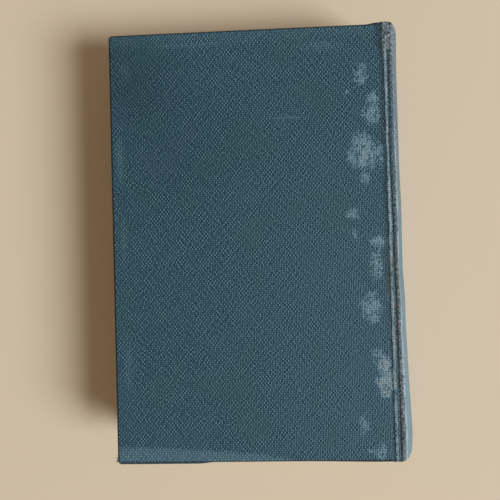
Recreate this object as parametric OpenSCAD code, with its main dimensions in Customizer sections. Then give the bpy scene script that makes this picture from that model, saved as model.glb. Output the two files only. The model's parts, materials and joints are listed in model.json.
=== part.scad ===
// A case-bound hardback book that lies on its front cover, back cover up.
// X runs from the fore-edge to the spine, Y from the tail to the head, Z up.
// The origin is on the table, under the middle of the book.

/* [Covers] */
// Height of a covered board, from tail to head
cover_h = 190; // [150:1:240]
// Width of a cover, from its fore-edge to the hinge line
cover_w = 122.2; // [95:0.1:160]
// Thickness of the binder's board
board_t = 2.3; // [1.6:0.1:3.4]
// Thickness of the woven book cloth
cloth_t = 0.4; // [0.3:0.05:0.6]
// Width of the cloth turned in over a board's inner face
turn_in = 15; // [10:0.5:20]
// Radius of the outer edges of a covered board
edge_r = 1.2; // [0.8:0.1:1.8]
// Radius of a cover's corners, seen from above
corner_r = 1.6; // [1.3:0.1:4]

/* [Joint] */
// Width of the groove on the board's side of the hinge line
groove_w = 1.8; // [1.6:0.1:4]
// Depth of the groove below the cover's outer face
groove_depth = 1.1; // [0.8:0.1:1.6]
// Gap along the hinge line between a cover's sheets and the spine's
hinge_gap = 0.3; // [0.2:0.05:0.6]

/* [Pages] */
// Thickness of the sewn leaves
leaves_t = 21; // [12:0.5:45]
// How far the boards stand out past the leaves
square = 3; // [2:0.25:5]
// Hollow of the fore-edge at its middle
fore_hollow = 3.4; // [2:0.1:5]
// Air between the endpaper on a shoulder and the cloth in the groove over it
shoulder_gap = 0.15; // [0.1:0.01:0.4]
// Length of a shoulder's slope along the leaves
shoulder_run = 0.9; // [0.6:0.1:1.5]
// Thickness of the endpapers
paper_t = 0.15; // [0.1:0.01:0.2]
// Air between a flyleaf and the pastedown that lies on it
rest_gap = 0.1; // [0.05:0.01:0.3]

/* [Spine] */
// How far the spine stands out past the hinge line
spine_bulge = 8.1; // [7.5:0.1:12]
// Rise of the spine's round, from its shoulders to its middle
spine_rise = 4.6; // [3.6:0.1:5.4]
// How far the spine's ridges lie below the covers' outer faces
ridge_drop = 0.4; // [0.3:0.05:0.7]
// Radius of the spine's ridges
ridge_r = 1.6; // [1.4:0.1:2.4]
// Thickness of the paper strip that stiffens the spine cloth
inlay_t = 0.6; // [0.4:0.05:1]
// Hollow between the spine strip and the lined back of the leaves
hollow = 0.9; // [0.7:0.05:2]
// Thickness of the mull, the open gauze glued to the back of the leaves
mull_t = 0.25; // [0.15:0.05:0.3]
// Thickness of the kraft lining over the mull
lining_t = 0.25; // [0.15:0.05:0.4]
// Distance from the head and tail of the leaves to the mull and lining
mull_inset = 13; // [12:0.5:20]
// Width of the mull's wings under the pastedowns
wing_w = 28; // [18:1:40]

/* [Sewing] */
// Diameter of the sewing thread
thread_d = 0.5; // [0.3:0.05:0.7]
// Rows of linked stitches over the back of the leaves
stitch_rows = 6; // [4:1:9]
// Diameter of the head and tail bands
band_d = 1.6; // [1:0.1:2]
// Width of a band's cloth tail, glued to the back of the leaves
band_tail_w = 10; // [6:0.5:11]
// Thickness of a band's cloth tail
band_tail_t = 0.3; // [0.2:0.05:0.4]

/* [Hidden] */

CLOTH = [0.20, 0.31, 0.36];
BOARD = [0.62, 0.55, 0.44];
PAPER = [0.86, 0.79, 0.64];
KRAFT = [0.66, 0.52, 0.36];
GAUZE = [0.83, 0.80, 0.70];
BAND = [0.55, 0.20, 0.18];

// Steps along the round stretches of a section
groove_steps = 10;
ridge_steps = 8;
round_steps = 16;
$fn = 96;

// Heights above the middle of the book's thickness, from the leaves outwards
leaf_z = leaves_t / 2;
fly_z = leaf_z + paper_t;
paste_z = fly_z + rest_gap;
turn_z = paste_z + paper_t;
board_in_z = turn_z + cloth_t;
board_out_z = board_in_z + board_t;
out_z = board_out_z + cloth_t;

// Small allowances: past the cover's sheets to a shoulder's tip, the tip's own flat,
// the spine chord's ends inside the ridges, a pastedown inside the leaves' edges,
// a mull wing inside the turn-ins, a thread inside its kerf, a cloth's cut past the
// board's edge, and the line of glue on the mull
tip_past = 0.2;
tip_flat = 0.15;
chord_in = 0.6;
paste_in = 0.5;
wing_in = 0.5;
thread_slack = 0.05;
cut_past = 0.001;
glue_t = 0.04;
// Share of a band's tail thickness that its bead stands out, and of the mull's
// height that the rows of stitches span
bead_out = 0.6;
stitch_span = 0.94;
// Degrees of the back's round left free of thread and of bands at each shoulder
thread_clear = 3;
band_clear = 2;

// The section's own origin is the hinge line, halfway through the book
middle_z = out_z;
hinge_x = (cover_w - spine_bulge) / 2;
leaves_h = cover_h - 2 * square;
board_x = -cover_w + cloth_t;
leaf_x = -cover_w + square;

// Rounds of the spine, outside and over the leaves
ridge_z = out_z - ridge_drop;
arc_half = ridge_z - chord_in;
spine_r = (arc_half * arc_half + spine_rise * spine_rise) / (2 * spine_rise);
spine_x = spine_bulge - spine_r;
ridge_centre_z = ridge_z - ridge_r;
ridge_x = spine_x + sqrt(pow(spine_r - ridge_r, 2) - pow(ridge_centre_z, 2));
ridge_turn = atan2(ridge_centre_z, ridge_x - spine_x);

tip_x = hinge_gap / 2 + tip_past;
tip_z = out_z - groove_depth - cloth_t - paper_t - shoulder_gap;
foot_x = tip_x - shoulder_run;
back_bulge = spine_bulge - cloth_t - inlay_t - hollow - lining_t - mull_t;
back_rise = back_bulge - tip_x - tip_flat;
back_r = (tip_z * tip_z + back_rise * back_rise) / (2 * back_rise);
back_x = back_bulge - back_r;
back_turn = asin(tip_z / back_r);
thread_turn = back_turn - thread_clear;
// Kerfs sawn across the back of the leaves, in which the thread lies
kerf_w = thread_d + 2 * thread_slack;
kerf_r = back_r - kerf_w;
fore_r = (leaf_z * leaf_z + fore_hollow * fore_hollow) / (2 * fore_hollow);

// The mull and the wings lie between the turn-ins of the head and tail
mull_h = leaves_h - 2 * mull_inset;
wing_h = min(mull_h, cover_h - 2 * (turn_in + wing_in));
far = 2 * cover_w;

function reversed(p) = [for (i = [len(p) - 1 : -1 : 0]) p[i]];
function flipped(p) = [for (q = p) [q[0], -q[1]]];

// A path moved to its right-hand side by d, square to the path at each point
function inset_path(p, d) = [
    for (i = [0 : len(p) - 1])
        let (t = p[min(i + 1, len(p) - 1)] - p[max(i - 1, 0)])
        p[i] + d * [t[1], -t[0]] / norm(t)
];
function strip(p, a, b) = concat(inset_path(p, a), reversed(inset_path(p, b)));

// The points of a path beyond x, led in by a point straight above or below the first
least_step = 0.02;
function beyond(p, x) =
    let (kept = [for (q = p) if (q[0] > x + least_step) q])
    concat([[x, kept[0][1]]], kept);

// Outer face of the groove, from the board to the hinge line
function cover_groove() = [
    for (i = [0 : groove_steps])
        let (x = -groove_w + i * (groove_w - hinge_gap / 2) / groove_steps)
        [x, out_z - groove_depth * (1 + cos(180 * x / groove_w)) / 2]
];

// Outer face of the spine, from the hinge line to the top of the ridge
function spine_groove() = [
    for (i = [0 : groove_steps])
        let (x = hinge_gap / 2 + i * (ridge_x - hinge_gap / 2) / groove_steps)
        [x, ridge_z - (groove_depth - ridge_drop) * (1 + cos(180 * x / ridge_x)) / 2]
];
function ridge_arc() = [
    for (i = [1 : ridge_steps])
        let (a = 90 - i * (90 - ridge_turn) / ridge_steps)
        [ridge_x + ridge_r * cos(a), ridge_centre_z + ridge_r * sin(a)]
];
function round_arc() = [
    for (i = [1 : round_steps])
        let (a = ridge_turn * (1 - i / round_steps))
        [spine_x + spine_r * cos(a), spine_r * sin(a)]
];
function whole(half) = concat(half, reversed(flipped([for (i = [0 : len(half) - 2]) half[i]])));
function case_path() = whole(concat(spine_groove(), ridge_arc(), round_arc()));
function inlay_path() = whole(concat([[ridge_x, ridge_z]], ridge_arc(), round_arc()));

// A section drawn in X and Z, h long in Y and centred
module along(h) {
    rotate([90, 0, 0]) linear_extrude(h, center = true) children();
}

module block(low, high) {
    translate(low) cube(high - low);
}

// From the section's own origin to the book's
module seated() {
    translate([hinge_x, 0, middle_z]) children();
}
module back_side() {
    seated() children();
}
module front_side() {
    seated() mirror([0, 0, 1]) children();
}

// Everything inside a circle round the axis of the leaves' back, within the shoulders
module back_disc(r) {
    intersection() {
        translate([back_x, 0]) circle(r);
        translate([tip_x, -tip_z]) square([far, 2 * tip_z]);
    }
}
module back_ring(inner, t) {
    difference() {
        back_disc(inner + t);
        translate([back_x, 0]) circle(inner);
    }
}

// A profile bent over the leaves' back at y, by turn degrees to each side
module bent(y, turn) {
    translate([back_x, y, 0])
        rotate([-90, 0, 0])
            rotate([0, 0, -turn])
                rotate_extrude(angle = 2 * turn) children();
}

function stitch_y(i) = stitch_span * mull_h * (i / (stitch_rows - 1) - 0.5);

module leaves_section() {
    difference() {
        union() {
            translate([leaf_x, -leaf_z]) square([tip_x - leaf_x, leaves_t]);
            polygon([[foot_x, -leaf_z], [tip_x, -tip_z], [tip_x, tip_z], [foot_x, leaf_z]]);
            back_disc(back_r);
        }
        translate([leaf_x + fore_hollow - fore_r, 0]) circle(fore_r);
    }
}

module leaves() {
    color(PAPER) seated() difference() {
        along(leaves_h) leaves_section();
        for (i = [0 : stitch_rows - 1])
            bent(stitch_y(i), thread_turn + thread_clear / 3)
                translate([kerf_r, -kerf_w / 2]) square([2 * kerf_w, kerf_w]);
    }
}

module sewing_threads() {
    color(GAUZE) seated()
        for (i = [0 : stitch_rows - 1])
            bent(stitch_y(i), thread_turn)
                translate([kerf_r + kerf_w / 2, 0]) circle(d = thread_d, $fn = 24);
}

module spine_mull() {
    color(GAUZE) seated() along(mull_h) back_ring(back_r + glue_t, mull_t - glue_t);
}

module spine_lining() {
    color(KRAFT) seated() along(mull_h) back_ring(back_r + mull_t, lining_t);
}

// A round bead on the edge of the leaves, with a flat tail glued to their back
module end_band() {
    bead_y = (leaves_h + band_d) / 2;
    bead_r = back_r + bead_out * band_tail_t - band_d / 2;
    tail_h = band_tail_w + band_d / 2;
    color(BAND) {
        bent(bead_y, back_turn - band_clear) translate([bead_r, 0]) circle(d = band_d, $fn = 24);
        translate([0, bead_y - tail_h / 2, 0]) along(tail_h) back_ring(back_r, band_tail_t);
    }
}
module head_band() {
    seated() end_band();
}
module tail_band() {
    seated() mirror([0, 1, 0]) end_band();
}

// The free half of an endpaper, which runs up the shoulder to its tip
module flyleaf() {
    slope = [tip_x - foot_x, tip_z - leaf_z];
    off = paper_t * [-slope[1], slope[0]] / norm(slope);
    bend_x = foot_x + off[0] + (paper_t - off[1]) * slope[0] / slope[1];
    color(PAPER) along(leaves_h) polygon([
        [leaf_x, leaf_z], [foot_x, leaf_z], [tip_x, tip_z],
        [tip_x, tip_z] + off, [bend_x, fly_z], [leaf_x, fly_z]
    ]);
}

module spine_inlay() {
    path = inlay_path();
    color(BOARD) seated() along(cover_h - 2 * cloth_t)
        polygon(strip(path, cloth_t, cloth_t + inlay_t));
}

// Cloth over the spine and into both grooves, turned in over the ends of the inlay
module spine_cloth() {
    path = inlay_path();
    inside = cloth_t + inlay_t;
    color(CLOTH) seated() {
        along(cover_h) polygon(strip(case_path(), 0, cloth_t));
        for (side = [-1, 1]) {
            translate([0, side * (cover_h - cloth_t) / 2, 0])
                along(cloth_t) polygon(strip(path, cloth_t / 2, inside + cloth_t));
            translate([0, side * (cover_h - turn_in) / 2, 0])
                along(turn_in) polygon(strip(path, inside, inside + cloth_t));
        }
    }
}

// A plate with a rounded outer edge on three sides, d inside the cover's faces
module rounded_plate(d, low, spine_end) {
    r = edge_r - d;
    high = out_z - d;
    fore = -cover_w + d;
    half = cover_h / 2 - d;
    plan_r = corner_r - d;
    intersection() {
        along(cover_h) {
            translate([fore + r, low]) square([spine_end - fore - r, high - low]);
            translate([fore, low]) square([2 * r, high - r - low]);
            translate([fore + r, high - r]) circle(r);
        }
        translate([spine_end, 0, 0]) rotate([90, 0, -90]) linear_extrude(far) {
            translate([-half, low]) square([2 * half, high - r - low]);
            translate([-half + r, low]) square([2 * (half - r), high - low]);
            for (side = [-1, 1])
                translate([side * (half - r), high - r]) circle(r);
        }
        translate([0, 0, low]) linear_extrude(high - low) {
            translate([fore + plan_r, -half]) square([far, 2 * half]);
            translate([fore, plan_r - half]) square([2 * plan_r, 2 * (half - plan_r)]);
            for (side = [-1, 1])
                translate([fore + plan_r, side * (half - plan_r)]) circle(plan_r);
        }
    }
}

module board() {
    color(BOARD) rounded_plate(cloth_t, board_in_z, -groove_w);
}

// Cloth over a board: its face, three edges, three turn-ins and half the groove
module cover_cloth() {
    color(CLOTH) {
        difference() {
            rounded_plate(0, turn_z, -groove_w);
            board();
            block([turn_in - cover_w, turn_in - cover_h / 2, 0],
                  [far, cover_h / 2 - turn_in, board_in_z]);
            block([-groove_w - cut_past, -cover_h, 0], [far, cover_h, board_in_z]);
        }
        along(cover_h) polygon(strip(cover_groove(), 0, cloth_t));
    }
}

// Half the mull's width: up the board's edge from the groove and under the pastedown,
// with a line of glue between it and the paper
module mull_wing() {
    t = mull_t - glue_t;
    leg_x = t - groove_w;
    fore = glue_t - wing_w - groove_w;
    color(GAUZE) along(wing_h - 2 * glue_t) polygon(concat(
        [[fore, board_in_z], [-groove_w, board_in_z]],
        beyond(inset_path(cover_groove(), cloth_t), -groove_w),
        reversed(beyond(inset_path(cover_groove(), cloth_t + t), leg_x)),
        [[leg_x, board_in_z - t], [fore, board_in_z - t]]
    ));
}

// The pasted half of an endpaper: over the turn-ins, down to the board between
// them, over the mull's wing, up the board's edge and into the groove
module pastedown() {
    fore = leaf_x + paste_in;
    half_h = leaves_h / 2 - paste_in;
    well_fore = turn_in - cover_w;
    well_half = cover_h / 2 - turn_in;
    wing_fore = -wing_w - groove_w;
    wing_z = board_in_z - mull_t;
    leg_x = mull_t - groove_w;
    bond_x = leg_x + paper_t / 2;
    color(PAPER) difference() {
        union() {
            block([fore, -half_h, paste_z], [bond_x, half_h, turn_z]);
            block([well_fore, -well_half, paste_z], [bond_x, well_half, board_in_z]);
            along(2 * half_h) polygon(concat(
                [[leg_x, paste_z]],
                beyond(inset_path(cover_groove(), cloth_t + mull_t), leg_x),
                reversed(beyond(inset_path(cover_groove(), cloth_t + mull_t + paper_t), leg_x + paper_t)),
                [[leg_x + paper_t, paste_z]]
            ));
        }
        block([well_fore + paper_t, paper_t - well_half, 0],
              [wing_fore - paper_t, well_half - paper_t, board_in_z - paper_t]);
        block([wing_fore - paper_t, paper_t - well_half, 0],
              [far, well_half - paper_t, wing_z - paper_t]);
        block([wing_fore, -wing_h / 2, wing_z], [leg_x, wing_h / 2, board_in_z]);
    }
}

leaves();
sewing_threads();
spine_mull();
spine_lining();
head_band();
tail_band();
back_side() flyleaf();  // back_flyleaf
front_side() flyleaf();  // front_flyleaf
spine_inlay();
spine_cloth();
back_side() board();  // back_board
back_side() cover_cloth();  // back_cloth
back_side() mull_wing();  // back_mull_wing
back_side() pastedown();  // back_pastedown
front_side() board();  // front_board
front_side() cover_cloth();  // front_cloth
front_side() mull_wing();  // front_mull_wing
front_side() pastedown();  // front_pastedown
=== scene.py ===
import json
import math
import bpy
import numpy as np
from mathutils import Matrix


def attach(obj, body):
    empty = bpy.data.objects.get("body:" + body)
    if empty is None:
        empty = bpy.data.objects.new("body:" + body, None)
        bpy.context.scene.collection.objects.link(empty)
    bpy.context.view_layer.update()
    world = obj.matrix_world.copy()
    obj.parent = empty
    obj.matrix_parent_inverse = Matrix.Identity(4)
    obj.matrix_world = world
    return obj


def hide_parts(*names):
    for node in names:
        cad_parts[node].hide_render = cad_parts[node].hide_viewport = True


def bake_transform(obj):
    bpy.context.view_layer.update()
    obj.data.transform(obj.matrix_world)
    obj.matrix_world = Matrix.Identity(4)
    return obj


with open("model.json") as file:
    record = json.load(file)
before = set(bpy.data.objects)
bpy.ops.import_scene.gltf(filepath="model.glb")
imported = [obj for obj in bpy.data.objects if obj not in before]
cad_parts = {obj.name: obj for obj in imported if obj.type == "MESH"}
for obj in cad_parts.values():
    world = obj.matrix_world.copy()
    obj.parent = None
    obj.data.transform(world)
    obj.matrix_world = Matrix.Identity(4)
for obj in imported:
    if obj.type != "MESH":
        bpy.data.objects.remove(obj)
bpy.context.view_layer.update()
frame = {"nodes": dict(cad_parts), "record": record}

mm = 0.001
backJoint = next(j for j in frame["record"]["behaviour"]["joints"] if j["name"] == "back_joint")
hingeX = backJoint["pos_m"][0] / mm   # the hinge line, in the middle of each groove
topZ = backJoint["pos_m"][2] / mm     # the back cover's outer face
midZ = topZ / 2

# The book's section: X from the hinge line, Z from halfway through the book, all in millimetres
book = {
    "coverW": 122.2, "coverH": 190, "coverT": 3.1, "cloth": 0.4, "outZ": 14,
    "leafX": -119.2, "leafZ": 10.5, "leavesH": 184, "foreHollow": 3.4,   # the leaves
    "footX": -0.55, "tipX": 0.35, "tipZ": 12.2, "tipFlat": 0.15,         # their shoulders
    "backBulge": 5.7,                                                    # and their round back
    "spineBulge": 8.1, "spineRise": 4.6, "spineIn": 0.6,                 # the round of the spine's cloth
    "ridgeX": 2.25, "ridgeDrop": 0.4, "ridgeR": 1.6,                     # the ridge beside it
}


def srgb(r, g, b):   # a colour as it is mixed on screen, 0 to 255
    shares = [c / 255 for c in (r, g, b)]
    return tuple(c / 12.92 if c < 0.0404 else ((c + 0.055) / 1.055) ** 2.4 for c in shares) + (1,)


def smooth(x, a=0.0, b=1.0):   # 0 before a, 1 after b; b may lie below a
    t = np.clip((np.asarray(x, float) - a) / (b - a), 0, 1)
    return t * t * (3 - 2 * t)


def softNoise(a, b, size, seed):   # smooth bumps from -1 to 1, about size apart
    grid = np.random.default_rng(seed).uniform(-1, 1, (64, 64))
    a, b = np.broadcast_arrays(np.asarray(a, float) / size, np.asarray(b, float) / size)
    i, j = np.floor(a).astype(int), np.floor(b).astype(int)
    s, t = smooth(a - i), smooth(b - j)
    low = grid[i % 64, j % 64] * (1 - s) + grid[(i + 1) % 64, j % 64] * s
    high = grid[i % 64, (j + 1) % 64] * (1 - s) + grid[(i + 1) % 64, (j + 1) % 64] * s
    return low * (1 - t) + high * t


def readKnots(knots, at, **settings):   # a value that runs in straight lines between its knots
    places, values = np.array(knots, float).T
    return np.interp(at, places, values, **settings)


# Mesh helpers: points are (X, y, Z) in the book's section
def flipped(faces):
    return [tuple(reversed(f)) for f in faces]


def gridFaces(rows, columns):
    return [(r * columns + c, (r + 1) * columns + c, (r + 1) * columns + c + 1, r * columns + c + 1)
            for r in range(rows - 1) for c in range(columns - 1)]


def tubeFaces(rings, sides):   # a grid whose rows close into rings
    return [(r + c, r + sides + c, r + sides + (c + 1) % sides, r + (c + 1) % sides)
            for r in range(0, (rings - 1) * sides, sides) for c in range(sides)]


def wayAlong(a, b):   # the distance walked along a line, point by point
    return np.concatenate([[0], np.cumsum(np.hypot(np.diff(a), np.diff(b)))])


def rowAt(y, x, z=None):   # a line of points across the section, at y
    return np.stack([x, np.full_like(x, y), np.zeros_like(x) if z is None else z], 1)


def weld(points, faces, layers):   # joins points at one place and drops what that flattens
    _, first, where = np.unique(np.round(points, 4), axis=0, return_index=True, return_inverse=True)
    where = where.ravel()
    out = []
    for f in faces:
        loop = [where[i] for i in f]
        loop = [v for k, v in enumerate(loop) if v != loop[k - 1]]
        if len(loop) >= 3 and len(set(loop)) == len(loop):
            out.append(tuple(int(v) for v in loop))
    return points[first], out, {k: v[first] for k, v in layers.items()}


def pointNormals(points, faces):
    normals = np.zeros_like(points)
    for size in (3, 4):
        f = np.array([q for q in faces if len(q) == size])
        if len(f):
            n = np.cross(points[f[:, 2]] - points[f[:, 0]], points[f[:, -1]] - points[f[:, 1]])
            for k in range(size):
                np.add.at(normals, f[:, k], n)
    return normals / np.maximum(np.linalg.norm(normals, axis=1, keepdims=True), 1e-12)


def thicken(points, faces, layers, t):   # a sheet gets its thickness behind its outer face
    count = len(points)
    inner = points - pointNormals(points, faces) * t
    back = [tuple(v + count for v in f) for f in flipped(faces)]
    edges = {(a, b): True for f in faces for a, b in zip(f, f[1:] + f[:1])}
    rim = [(b, a, a + count, b + count) for a, b in edges if (b, a) not in edges]
    layers = {k: np.concatenate([v, v]) for k, v in layers.items()}
    return np.vstack([points, inner]), faces + back + rim, layers


def addObject(name, data):
    thing = bpy.data.objects.new(name, data)
    bpy.context.scene.collection.objects.link(thing)
    return thing


def makePiece(name, points, faces, layers, material, slot, body, replaced=None, side=1, bend=None, soft=True):
    placed = np.array(points, float)
    placed[:, 0] += hingeX
    placed[:, 2] = midZ + side * placed[:, 2]
    mesh = bpy.data.meshes.new(name)
    mesh.from_pydata((placed * mm).tolist(), [], flipped(faces) if side < 0 else faces)
    for layer, values in layers.items():
        values = np.asarray(values, np.float32)
        kind, field = ("FLOAT_VECTOR", "vector") if values.ndim == 2 else ("FLOAT", "value")
        mesh.attributes.new(layer, kind, "POINT").data.foreach_set(field, values.ravel())
    mesh.polygons.foreach_set("use_smooth", [soft] * len(mesh.polygons))
    mesh.update()
    mesh.materials.append(material)
    piece = addObject(name, mesh)
    if replaced:
        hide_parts(replaced)
    if bend:   # bend holds where the piece starts and ends to turn with its cover, from the hinge line; here only its presence is read, and such a piece is left unattached in place
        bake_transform(piece)
    else:
        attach(piece, body)
    print(name, "made,", len(mesh.polygons), "faces")


# The case's section
case = {
    "creaseX": [   # y, and where the deep crease lies
        (-95, 1.35), (-60, 1.2), (-6, 1.3), (35, 0.75), (60, 0.95), (95, 1.15)],
    "creaseDepth": 0.75,
    "boardEdge": -2.3,                         # the groove starts here
    "grooveX": -1.35, "grooveDepth": 0.6,      # the soft groove beside the board
    "crestX": -0.3, "crestDepth": 0.4,         # the thin crest between both grooves
    "runOut": ((80, 90, 0.8), (-89, -94.5, 0.45)),   # the joint runs out at head and tail: y, y, share
    "cock": 2.8, "cockFrom": 5, "cockRun": 100,   # the tail half of the spine leans outwards
    "lean": [   # y, and how far the spine leans out
        (-95, -2.0), (-91, -1.35), (-86, -0.85), (-37, -0.8), (-26, -0.5), (-12, -0.85), (8, -0.5),
        (18, -0.45), (32, -0.85), (75, -0.85), (88, -0.6), (95, -0.4)],
    "leanRun": 9,                              # both grow to their full size over this width
    "capDip": 1.7, "capRun": 5.85,             # head and tail caps are pushed in at the middle
    "headRise": 0.65, "headRiseX": (-8, -3.5),   # the cloth stands up beside the caps, growing over these X
    "tailRise": 0.5, "tailRiseX": (-40, -5),
}


def creaseX(y):
    return readKnots(case["creaseX"], y) + 0.08 * softNoise(y, 0, 9, 11)


def caseDepth(x, y):   # depth of the outer face below the cover's face, from the board to the crease
    groove, crest = case["grooveX"], case["crestX"]
    low = case["grooveDepth"] * (1 + 0.10 * softNoise(y, 3, 14, 5))
    high = case["crestDepth"] * (1 + 0.22 * softNoise(y, 7, 6, 6))
    ends = 1 - sum(share * smooth(y, start, stop) for start, stop, share in case["runOut"])
    down = low * smooth(x, case["boardEdge"], groove)
    up = low + (high - low) * smooth(x, groove, crest)
    last = high + (case["creaseDepth"] - high) * smooth(x, crest, creaseX(y))
    return ends * np.where(x < groove, down, np.where(x < crest, up, last))


def cocked(points):   # leans the spine's tail half outwards
    x, y = points[:, 0], points[:, 1]
    t = np.clip((case["cockFrom"] - y) / case["cockRun"], 0, 1)
    out = points.copy()
    shift = case["cock"] * t ** 1.5 + readKnots(case["lean"], y)
    out[:, 0] += shift * np.clip((x + 1) / case["leanRun"], 0, 1)
    return out


def capEnd(x, y):   # how far an end of the case at x is pushed in, with its sign
    middle = case["capDip"] * np.clip((x - book["ridgeX"]) / case["capRun"], 0, 1) ** 2
    head = case["headRise"] * smooth(x, *case["headRiseX"])
    tail = case["tailRise"] * smooth(x, *case["tailRiseX"])
    return middle - np.where(y > 0, head, tail)


ridgeZ = book["outZ"] - book["ridgeDrop"]
chord = ridgeZ - book["spineIn"]
spineR = (chord ** 2 + book["spineRise"] ** 2) / (2 * book["spineRise"])
spineX = book["spineBulge"] - spineR
ridgeCentre = ridgeZ - book["ridgeR"]
ridgeTurn = math.atan2(ridgeCentre, book["ridgeX"] - spineX)
jointSteps, ridgeSteps, roundSteps = 10, 10, 24


def spinePath(y, start=0):   # the spine's outer face from the top crease round to the lower one
    crease = float(creaseX(y))
    low = float(caseDepth(crease, y))
    half = []
    for i in range(jointSteps):
        s = i / jointSteps
        depth = low + (book["ridgeDrop"] - low) * float(smooth(s))
        half.append((crease + s * (book["ridgeX"] - crease), book["outZ"] - depth))
    for i in range(ridgeSteps + 1):
        a = math.pi / 2 + (ridgeTurn - math.pi / 2) * i / ridgeSteps
        x, z = book["ridgeR"] * math.cos(a), book["ridgeR"] * math.sin(a)
        half.append((book["ridgeX"] + x, ridgeCentre + z))
    for i in range(1, roundSteps + 1):
        a = ridgeTurn * (1 - i / roundSteps)
        half.append((spineX + spineR * math.cos(a), spineR * math.sin(a)))
    half = half[start:]
    return np.array(half + [(x, -z) for x, z in reversed(half[:-1])])


def pathNormals(path):   # pointing inwards, on the right of the way along the path
    ahead = np.vstack([path[1:], path[-1:]]) - np.vstack([path[:1], path[:-1]])
    ahead /= np.linalg.norm(ahead, axis=1, keepdims=True)
    return np.stack([ahead[:, 1], -ahead[:, 0]], 1)


# Wear and painted shade: a place is (X, y, half X, half y, amount), with X and y in the book's frame
wearAndShade = {
    "rubs": [   # pale rubbed places beside the back cover's joint
        (46, 73, 3.1, 5.2, 1.0), (39.5, 65, 1.4, 1.4, 0.9), (51, 61.5, 2.7, 4, 1.1), (50, 55, 4, 4.7, 1.1),
        (45.5, 41.5, 5, 6.5, 1.15), (47, 37.5, 7.6, 6.6, 1.15), (46.5, 27.5, 2.3, 3.3, 1.0),
        (41, 12, 3.1, 2.9, 1), (41.5, 3.5, 1.4, 2.2, 0.9), (51.5, 0, 3.6, 2.7, 1.25), (50.5, -10, 3, 7.2, 1),
        (48, -28.5, 4.7, 7, 1.15), (52.4, -53.4, 3.0, 4.3, 1.6), (53.5, -61.6, 4.6, 3.6, 1.7),
        (56.2, -58.6, 2.8, 3.0, 1.65), (53.1, -65.1, 2.3, 3.2, 1.6), (50.5, -60.7, 2.0, 2.0, 1.4),
        (49.4, -48.2, 2.8, 1.6, 1.0), (48.2, -52.2, 1.8, 1.4, 1.0), (43, -79.5, 2.2, 4.3, 0.95),
        (45.5, -90.5, 1.3, 1.2, 0.9), (50, -90.5, 2.6, 3.9, 1.15)],
    "frontRubs": [
        (46, 66, 2.8, 5, 0.9), (50.5, 58, 3.2, 4, 1.05), (48, 21, 3.6, 7, 1.0), (51.5, 12, 3, 3, 1.1),
        (50, -36, 4, 6, 1.05), (53, -45, 3, 4, 1.2), (51, -80, 2.4, 4, 0.9), (-40, -60, 12, 7, 0.62)],
    "rubSoft": (0.3125, 1.5625),       # shares of a rub's half sizes: full up to one, gone at the other
    "rubEnd": -1.2,                    # X at which the rubs stop beside the joint
    "overJoint": 1.3, "overEnd": 0.4,  # a rub of a larger amount reaches over the joint's crest, to this X
    "band": [(-66, 7.4), (-57, 7.2), (-22, 5.4), (-2.5, 3.7), (10.5, 1.5), (14, 0)],   # pale strip: X, height
    "bandEnd": 16,
    "scuffs": [   # faint pale places
        (-61, 40, 2.5, 16, 0.75), (-60, 4, 2, 14, 0.6), (-58, 78, 4, 9, 0.5), (13, 55, 15, 0.9, 0.7),
        (-59, -52, 3, 18, 0.55), (-30, 89, 30, 2, 0.6), (28, 86, 16, 4, 0.55)],
    "shades": [(-56, 76, 26, 26, 0.9), (-38, 42, 42, 38, 0.45)],   # broad darker places
    "grooveLine": -1.9,                # the dark line beside the board, of grime and painted shade, with some brown
    "headY": (80, 86),                 # the ridge is worn grey at the head, growing over these y
    "brownY": (12, -14),               # and rubbed to a brown ground below the middle
    "tailY": (-35, -55),               # which fades towards the tail
}


def wander(y):   # how far the worn lines stray along the joint
    return 0.16 * softNoise(y, 1, 5, 41) + 0.12 * softNoise(y, 3, 1.8, 42)


def brownGround(y):
    return smooth(y, *wearAndShade["brownY"]) * (1 - 0.6 * smooth(y, *wearAndShade["tailY"]))


def highest(*masks):
    return np.maximum.reduce(masks)


def streak(x, at, width):   # a soft line along the joint
    return np.exp(-((x - at) / width) ** 2)


def spot(x, y, place, near, far):   # full up to near times a place's half sizes, and gone at far
    cx, cy, halfX, halfY, amount = place
    return amount * (1 - smooth(np.hypot((x - cx) / halfX, (y - cy) / halfY), near, far))


# a cover's wear, with painted shade and painted highlights
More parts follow.
